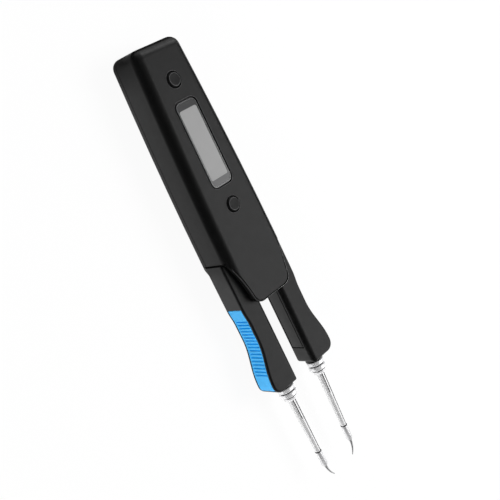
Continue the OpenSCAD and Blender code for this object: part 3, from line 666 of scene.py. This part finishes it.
def button_piece(which, y):
    bm = bmesh.new()
    flange_z1 = BUTTON_Z0 + BUTTON_FLANGE_T
    profile = [(BUTTON_FLANGE_R, BUTTON_Z0), (BUTTON_FLANGE_R, flange_z1), (BUTTON_R, flange_z1),
               (BUTTON_R, BUTTON_TAPER_Z0), (BUTTON_TAPER_R1, BUTTON_TAPER_Z1)]
    profile += arc(BUTTON_FACE_R - BUTTON_RIM, BUTTON_TOP - BUTTON_RIM, BUTTON_RIM, 0, 90, steps=6)
    for k in range(1, DISH_RINGS + 1):
        share = 1 - k / (DISH_RINGS + 0.5)
        profile.append((DISH_R * share, BUTTON_TOP - DISH_T * (1 - share ** 2)))
    loft(bm, moved(turned(profile), 0, y))

    def on_rim(spot):
        outside = math.hypot(spot.x, spot.y - y) > BUTTON_FACE_R - BUTTON_RIM
        return outside and spot.z > BUTTON_TOP - BUTTON_RIM / 2

    # the rounded rim takes the lighter material: painted highlight
    mark_faces(bm, on_rim)
    add_piece(f"{which}_button_piece", bm, f"{which}_button_cap", "button_black", second="button_edge",
              replaces=(f"{which}_button",))


def button_seat(which, y):
    bm = bmesh.new()
    profile = [(r, BODY_DEPTH + dz) for r, dz in bead(BUTTON_BEAD_R)]
    loft_loop(bm, moved(turned(profile), 0, y))
    # the bead takes the lighter material: painted highlight
    add_piece(f"{which}_button_seat", bm, "body", "shell_black", material="shell_worn")


for which, y in BUTTON_YS.items():
    button_piece(which, y)
    button_seat(which, y)


# The four screws of the shells, with a rounded rim and a hexagon socket in each head

def hexagon(across, z, segments):
    """A ring along a hexagon, with its points at even angles, from its width across flats."""
    ring = []
    for i in range(segments):
        a = 2 * math.pi * i / segments
        r = across / 2 / math.cos(a % (math.pi / 3) - math.pi / 6)
        ring.append((r * math.cos(a), r * math.sin(a), z))
    return ring


def screw_rings(z0, z1):
    """Rings of one screw from the floor of its socket over the head to the end of the shank."""
    rings = [hexagon(SOCKET_ACROSS, z, SCREW_SEGMENTS) for z in (z0 + SOCKET_T, z0)]
    profile = arc(SCREW_HEAD_R - SCREW_RIM, z0 + SCREW_RIM, SCREW_RIM, -90, 0, steps=5)
    profile += [(SCREW_HEAD_R, z0 + SCREW_HEAD_H), (SCREW_R, z0 + SCREW_HEAD_H), (SCREW_R, z1)]
    return rings + turned(profile, SCREW_SEGMENTS)


def screw_set():
    low, high = (Vector(corner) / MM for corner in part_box("shell_screws"))
    bm = bmesh.new()
    for x in (low.x + SCREW_HEAD_R, high.x - SCREW_HEAD_R):
        for y in (low.y + SCREW_HEAD_R, high.y - SCREW_HEAD_R):
            loft(bm, moved(screw_rings(low.z, high.z), x, y))
    add_piece("shell_screw_set", bm, "body", "steel", replaces=("shell_screws",))


screw_set()


# The lens: a raised rim with a painted highlight, a smoked border painted lighter towards low Y as painted
# reflection, the display window in it, and the bead round its groove with a painted highlight

def lifted(points, z):
    return [(px, DISPLAY_Y + py, z) for px, py in points]


def lens_outline(inset):
    return rounded_rect(LENS_W - 2 * inset, LENS_LEN - 2 * inset, LENS_CORNER_R - inset, LENS_CORNER_STEPS)


WINDOW = rounded_rect(WINDOW_W, WINDOW_LEN, WINDOW_CORNER_R, LENS_CORNER_STEPS)


def lens_border():
    bm = bmesh.new()
    rim_r = LENS_RIM / 2
    rings = [lifted(WINDOW, LENS_Z0), lifted(lens_outline(LENS_GAP), LENS_Z0)]
    for inset, z in arc(LENS_GAP + rim_r, LENS_TOP - rim_r, rim_r, 180, 0, steps=10):
        rings.append(lifted(lens_outline(inset), z))
    rings += [lifted(lens_outline(LENS_GAP + LENS_RIM), BORDER_TOP), lifted(WINDOW, BORDER_TOP)]
    loft_loop(bm, rings)
    # the top of the rim takes the lighter material: painted highlight
    mark_faces(bm, lambda spot: spot.z > LENS_TOP - LENS_RIM_LOW)
    add_piece("lens_border", bm, "body", "lens_smoke", second="lens_edge", replaces=("display_lens",))


def lens_window():
    bm = bmesh.new()
    loft(bm, [lifted(WINDOW, LENS_Z0), lifted(WINDOW, WINDOW_TOP)])
    add_piece("lens_window", bm, "body", "display_grey")


def lens_seat():
    bm = bmesh.new()
    section = bead(LENS_GROOVE + BEAD_R)
    loft_loop(bm, [lifted(lens_outline(-grow), BODY_DEPTH + dz) for grow, dz in section])
    # the bead takes the lighter material: painted highlight
    add_piece("lens_seat", bm, "body", "shell_black", material="shell_worn")


lens_border()
lens_window()
lens_seat()


# The thin rim along the edge of the hood, whose outer faces carry a painted highlight that grows lighter
# towards +X

def front_z(x):
    """Height of the rounded front of the body at a distance from its middle."""
    past = max(0.0, abs(x) - BODY_HALF + FRONT_R)
    return BODY_DEPTH - FRONT_R + math.sqrt(max(0.0, FRONT_R ** 2 - past ** 2))


def hood_path(inset):
    """The edge of the hood from its left shoulder round its end to its right one, drawn in by an inset."""
    top = Vector((BODY_HALF, SHOULDER_Y))
    low = Vector((HOOD_HALF, HOOD_END + HOOD_R))
    half = (top - low) / 2
    away = Vector((half.y, -half.x)).normalized()
    centre = (top + low) / 2 + away * math.sqrt(HOOD_SIDE_R ** 2 - half.length_squared)
    r = HOOD_SIDE_R + inset
    points = []
    for i in range(HOOD_SIDE_STEPS + 1):
        y = top.y + (low.y - top.y) * i / HOOD_SIDE_STEPS
        points.append((centre.x - math.sqrt(r ** 2 - (y - centre.y) ** 2), y))
    points += arc(HOOD_HALF - HOOD_R, HOOD_END + HOOD_R, HOOD_R - inset, 0, -90, steps=10)[1:]
    return [(-x, y) for x, y in points] + [(x, y) for x, y in reversed(points)]


def hood_rim():
    bm = bmesh.new()
    rings = []
    for (ox, oy), (ix, iy) in zip(*(hood_path(inset) for inset in HOOD_RIM_INSETS)):
        face_z = front_z(ox)
        top = face_z + (HOOD_RIM_LIFT if face_z < HOOD_LIP_Z else -HOOD_RIM_LIFT)
        low = min(face_z, HOOD_LIP_Z) - HOOD_RIM_T
        side = top - HOOD_RIM_ROUND
        section = ((0, low), (0, side), *((t, top) for t in HOOD_RIM_FLAT), (1, side), (1, low))
        rings.append([(ox + (ix - ox) * t, oy + (iy - oy) * t, z) for t, z in section])
    made = loft(bm, rings)
    # the outer round and flat faces take the painted highlight
    outer_round_and_flat = (1, 2)
    for a, b in zip(made, made[1:]):
        for i in outer_round_and_flat:
            for face in set(a[i].link_faces) & set(a[i + 1].link_faces) & set(b[i].link_faces):
                face.material_index = 1
    add_piece("hood_rim", bm, "body", "shell_black", second="shell_edge")


hood_rim()


# Cartridges: collars, slotted tubes, joint rings and bits with bent needles; the collar grooves, slot, seam
# and joint rings are painted black as painted shade

def on_axis(bm, sign):
    """Moves a mesh from a cartridge's own frame, +Z along its axis and +X away from the middle."""
    along = Vector((-sign * math.sin(TOE), -math.cos(TOE), 0))
    out = Vector((sign * math.cos(TOE), -math.sin(TOE), 0))
    up = Vector((0, 0, 1))
    rot = Matrix((out, up, along)).transposed().to_4x4()
    bm.transform(Matrix.Translation(Vector((sign * AXIS_X, NOSE_Y, AXIS_Z)) * MM) @ rot)


def collar_piece(side, sign):
    """Two rounded rings with a groove after each, whose floor is painted black as painted shade, and a short
    cone.
    """
    bm = bmesh.new()
    bore = BARREL_R + BARREL_GAP
    mid_r = COLLAR_R - COLLAR_ROUND
    pitch = COLLAR_RING + COLLAR_GROOVE
    profile = [(bore, COLLAR_START)]
    for start in (COLLAR_START, COLLAR_START + pitch):
        end = start + COLLAR_RING
        profile += arc(mid_r, start + COLLAR_ROUND, COLLAR_ROUND, -90, 0, steps=8)
        profile += arc(mid_r, end - COLLAR_ROUND, COLLAR_ROUND, 0, 90, steps=8)
        profile += [(COLLAR_GROOVE_R, end), (COLLAR_GROOVE_R, start + pitch)]
    cone_r, end_r = COLLAR_END_RS
    profile += [(cone_r, COLLAR_END - COLLAR_END_CHAMFER), (end_r, COLLAR_END), (bore, COLLAR_END)]
    loft_loop(bm, turned(profile, COLLAR_SEGMENTS))

    def in_groove(spot):
        low, high = COLLAR_PAINTED_SHADE_RS
        return low < spot.xy.length < high and COLLAR_START < spot.z < COLLAR_START + 2 * pitch

    # the groove floors take the black material: painted shade
    mark_faces(bm, in_groove)
    on_axis(bm, sign)
    add_piece(f"{side}_collar_rings", bm, f"{side}_cartridge", "chrome", second="joint_black",
              replaces=(f"{side}_collar",))


def tube_turns(sign):
    """Angles round a tube, each with the name of the line whose floor it is on, or none."""
    lines = ((90 + sign * SLOT_TURN, SLOT_HALF_TURN, "slot"), (90 - sign * SEAM_TURN, SEAM_HALF_TURN, "seam"))
    turns = []
    for d in range(0, 360, TUBE_STEP):
        if all(abs(d - middle) > half + LINE_CLEAR for middle, half, _ in lines):
            turns.append((d, ""))
    for middle, half, line in lines:
        turns += [(middle + half * k, line if abs(k) < 1 else "") for k in (-1, -LINE_FLOOR, LINE_FLOOR, 1)]
    return [(math.radians(d), line) for d, line in sorted(turns)]


def tube_piece(side, sign):
    """A barrel and a tapered tube, rolled with a seam along it and a slot that starts at the collar; the
    floors of the shallow seam and slot are painted black as painted shade.
    """
    bm = bmesh.new()
    turns = tube_turns(sign)
    length = BIT_START - COLLAR_END

    def ring(r, h, slot=0.0, seam=0.0):
        sunk = {"slot": slot, "seam": seam, "": 0.0}
        return [((r - sunk[line]) * math.cos(a), (r - sunk[line]) * math.sin(a), h) for a, line in turns]

    def tube_ring(along, slot):
        r = TUBE_R + (TUBE_END_R - TUBE_R) * along / length
        return ring(r, COLLAR_END + along, slot, SEAM_T)

    rings = [ring(BARREL_R - BARREL_CHAMFER, -BARREL_LEN), ring(BARREL_R, -BARREL_LEN + BARREL_CHAMFER),
             ring(BARREL_R, COLLAR_END - BARREL_STEP)]
    rings += [tube_ring(along, SLOT_T) for along in (0, *SLOT_PLACES, SLOT_LEN - SLOT_END)]
    rings += [tube_ring(along, 0.0) for along in (SLOT_LEN, *TUBE_PLACES, length - TUBE_END_CHAMFER)]
    rings.append(ring(TUBE_END_R - TUBE_END_CHAMFER, BIT_START))
    line_of = {}
    for row in loft(bm, rings):
        for vert, (_, line) in zip(row, turns):
            line_of[vert] = line
    # floors of the slot and seam take the black material: painted shade
    for face in bm.faces:
        h = face.calc_center_median().z / MM
        lines = {line_of[vert] for vert in face.verts}
        in_slot = lines == {"slot"} and h < COLLAR_END + SLOT_LEN
        if COLLAR_END < h and (in_slot or lines == {"seam"}):
            face.material_index = 1
    on_axis(bm, sign)
    add_piece(f"{side}_slotted_tube", bm, f"{side}_cartridge", "steel", material="stainless",
              second="joint_black", replaces=(f"{side}_tube",))


def needle_ring(t):
    """A ring of the bent needle at a share of its length."""
    a = BEND * t
    r = NEEDLE_R + (NEEDLE_END_R - NEEDLE_R) * t
    cx = -BEND_R * (1 - math.cos(a))
    cz = NEEDLE_START + BEND_R * math.sin(a)
    flat = turned([(r, 0)], BIT_SEGMENTS)[0]
    return [(cx + px * math.cos(a), py, cz + px * math.sin(a)) for px, py, _ in flat]


def needle_tip(ring):
    """The small last ring that blunts the needle."""
    cx = -BEND_R * (1 - math.cos(BEND))
    cz = NEEDLE_START + BEND_R * math.sin(BEND)
    tip = []
    for px, py, pz in ring:
        x = cx + (px - cx) * TIP_SHARE - TIP_LEN * math.sin(BEND)
        tip.append((x, py * TIP_SHARE, cz + (pz - cz) * TIP_SHARE + TIP_LEN))
    return tip


def bit_piece(side, sign):
    bm = bmesh.new()
    start = BIT_START + BIT_GAP
    profile = [(BIT_R - BIT_CHAMFER, start), (BIT_R, start + BIT_CHAMFER), (BIT_R, BIT_SHOULDER_FROM),
               (BIT_R - BIT_SHOULDER_FALL, BIT_SHOULDER_TO)]
    rings = turned(profile, BIT_SEGMENTS)
    rings += [needle_ring(i / NEEDLE_STEPS) for i in range(NEEDLE_STEPS + 1)]
    rings.append(needle_tip(rings[-1]))
    loft(bm, rings)
    mark_faces(bm, lambda spot: spot.z > NEEDLE_TIN_START)
    on_axis(bm, sign)
    add_piece(f"{side}_bit_needle", bm, f"{side}_cartridge", "bit_plating", second="needle_tin",
              replaces=(f"{side}_bit",))


def joint_ring(side, sign):
    """A black ring where the bit meets the tube, painted shade standing for the gap there."""
    bm = bmesh.new()
    profile = [(JOINT_BORE, JOINT_START), (JOINT_LOW_R, JOINT_START), (JOINT_R, JOINT_START + JOINT_ROUND),
               (JOINT_R, JOINT_END - JOINT_ROUND), (JOINT_LOW_R, JOINT_END), (JOINT_BORE, JOINT_END)]
    loft_loop(bm, turned(profile, BIT_SEGMENTS))
    on_axis(bm, sign)
    add_piece(f"{side}_joint_ring", bm, f"{side}_cartridge", "bit_plating", material="joint_black")


for side, sign in SIDES:
    collar_piece(side, sign)
    tube_piece(side, sign)
    bit_piece(side, sign)
    joint_ring(side, sign)


# Floor, world and light

def bare_material(name):
    """A material without a shader, and the socket for its surface."""
    mat = bpy.data.materials.new(name)
    mat.use_nodes = True
    tree = mat.node_tree
    tree.nodes.clear()
    return mat, tree, tree.nodes.new("ShaderNodeOutputMaterial").inputs["Surface"]


def flat_object(name, corners, mat):
    """An object of one face, from its corners in millimetres."""
    bm = bmesh.new()
    bm.faces.new([bm.verts.new(Vector(p) * MM) for p in corners])
    mesh = bpy.data.meshes.new(name)
    bm.to_mesh(mesh)
    bm.free()
    mesh.materials.append(mat)
    obj = bpy.data.objects.new(name, mesh)
    scene.collection.objects.link(obj)
    return obj


def add_floor(half=3000, z=-0.02, grey=0.86, white_share=0.94):
    """A white floor for the camera, gloss and glass, which keeps a little of the shadow."""
    mat, tree, surface = bare_material("floor_white")
    paper = add_node(tree, "ShaderNodeBsdfDiffuse", Color=(grey, grey, grey, 1))
    glow = add_node(tree, "ShaderNodeEmission", Color=(1, 1, 1, 1), Strength=1.0)
    rays = tree.nodes.new("ShaderNodeLightPath").outputs
    seen = math_node(tree, "MAXIMUM", rays["Is Camera Ray"], rays["Is Glossy Ray"])
    shown = math_node(tree, "MAXIMUM", seen, rays["Is Transmission Ray"])
    mix = tree.nodes.new("ShaderNodeMixShader")
    tree.links.new(math_node(tree, "MULTIPLY", shown, white_share), mix.inputs["Fac"])
    tree.links.new(paper.outputs[0], mix.inputs[1])
    tree.links.new(glow.outputs[0], mix.inputs[2])
    tree.links.new(mix.outputs[0], surface)
    corners = [(x * half, y * half, z) for x, y in ((-1, -1), (1, -1), (1, 1), (-1, 1))]
    floor = flat_object("floor", corners, mat)


def add_world():
    """White at and below the horizon, falling to a ceiling that is dark above and grey towards both ends."""
    horizon = (0.95, 0.95, 0.95)
    ceiling = (0.03, 0.03, 0.03)
    end_grey = 0.26
    end_shift = 0.24
    world = bpy.data.worlds.new("studio")
    scene.world = world
    world.use_nodes = True
    tree = world.node_tree
    back = tree.nodes["Background"]
    coord = tree.nodes.new("ShaderNodeTexCoord")
    split = tree.nodes.new("ShaderNodeSeparateXYZ")
    tree.links.new(coord.outputs["Generated"], split.inputs[0])
    height = two_tone(tree, split.outputs["Z"], horizon, ceiling, start=0.16, end=0.45)
    from_middle = math_node(tree, "ABSOLUTE", math_node(tree, "ADD", split.outputs["Y"], end_shift))
    ends = map_range(tree, from_middle, start=0.15, end=0.6, high=end_grey, interpolation="SMOOTHSTEP")
    tree.links.new(math_node(tree, "MAXIMUM", height, ends), back.inputs["Color"])
    back.inputs["Strength"].default_value = 1.0


def add_softbox(name, direction, distance, width, height, radiance, in_gloss=True):
    """A rectangular lamp that faces the part, with the brightness of its face, in metres."""
    light = bpy.data.lights.new(name, "AREA")
    light.shape = "RECTANGLE"
    light.size = width
    light.size_y = height
    light.energy = radiance * math.pi * width * height
    obj = bpy.data.objects.new(name, light)
    scene.collection.objects.link(obj)
    place = Vector(direction).normalized() * distance
    obj.location = place
    obj.rotation_euler = (-place).to_track_quat("-Z", "Y").to_euler()
    obj.visible_glossy = in_gloss


FLAG_PALE = (0.66, 0.66, 0.66)
FLAG_BLACK = (0, 0, 0)


def add_flag(name, low, high, z0, z1, lean, fade=None):
    """A black card beside the part, in millimetres, seen only in its gloss, that keeps its edges dark.

    A fade names an axis, the place where the card stops being pale and the place where it is black."""
    mat, tree, surface = bare_material(name)
    glow = add_node(tree, "ShaderNodeEmission", Color=(*FLAG_BLACK, 1), Strength=1.0)
    tree.links.new(glow.outputs[0], surface)
    if fade:
        place = along_axis(tree, object_coords(tree), *fade)
        tree.links.new(two_tone(tree, place, FLAG_PALE, FLAG_BLACK), glow.inputs["Color"])
    corners = ((*low, z0), (*high, z0), (high[0] + lean, high[1], z1), (low[0] + lean, low[1], z1))
    obj = flat_object(name, corners, mat)
    obj.visible_camera = False
    obj.visible_diffuse = False
    obj.visible_transmission = False
    obj.visible_shadow = False


add_floor()
add_world()
add_softbox("front_box", direction=(0.58, -0.31, 0.76), distance=0.6, width=0.6, height=0.55, radiance=1.38)
add_softbox("tail_box", direction=(0.58, 0.66, 0.46), distance=0.6, width=0.3, height=0.2, radiance=2.4)
add_softbox("key", direction=(0.62, -0.05, 0.78), distance=0.7, width=0.3, height=0.3, radiance=12.2,
            in_gloss=False)
add_softbox("left_fill", direction=(-0.92, -0.25, 0.3), distance=0.6, width=0.4, height=0.3, radiance=5.6,
            in_gloss=False)
add_flag("left_flag", low=(-20.5, -1), high=(-18.6, 130), z0=0.3, z1=90, lean=-25, fade=("Z", 0, 9))
add_flag("floor_flag", low=(-40, 4), high=(-40, 110), z0=0.2, z1=0.2, lean=37, fade=("Y", 69, 85))
add_flag("tail_flag", low=(-60, 86), high=(70, 86), z0=0.3, z1=13, lean=0, fade=("Z", 0, 6))
add_flag("low_flag", low=(-45, -120), high=(-45, -1), z0=9, z1=90, lean=-10)
add_flag("right_flag", low=(50, -52), high=(50, 84), z0=6, z1=40, lean=10)


# Camera at the photograph's angle

def add_camera():
    place = Vector((-155.61, 70.417, 219.73)) * MM
    forward = Vector((0.5833, -0.23572, -0.7773)).normalized()
    sideways = Vector((0.6599, -0.42044, 0.6227)).normalized()
    right = (sideways - forward * sideways.dot(forward)).normalized()
    up = right.cross(forward)
    camera = bpy.data.cameras.new("camera")
    camera.sensor_width = 36
    camera.lens = 57.475
    camera.clip_start = 0.01
    obj = bpy.data.objects.new("camera", camera)
    scene.collection.objects.link(obj)
    obj.matrix_world = Matrix.Translation(place) @ Matrix((right, up, -forward)).transposed().to_4x4()
    scene.camera = obj


add_camera()
scene.view_settings.view_transform = "Standard"
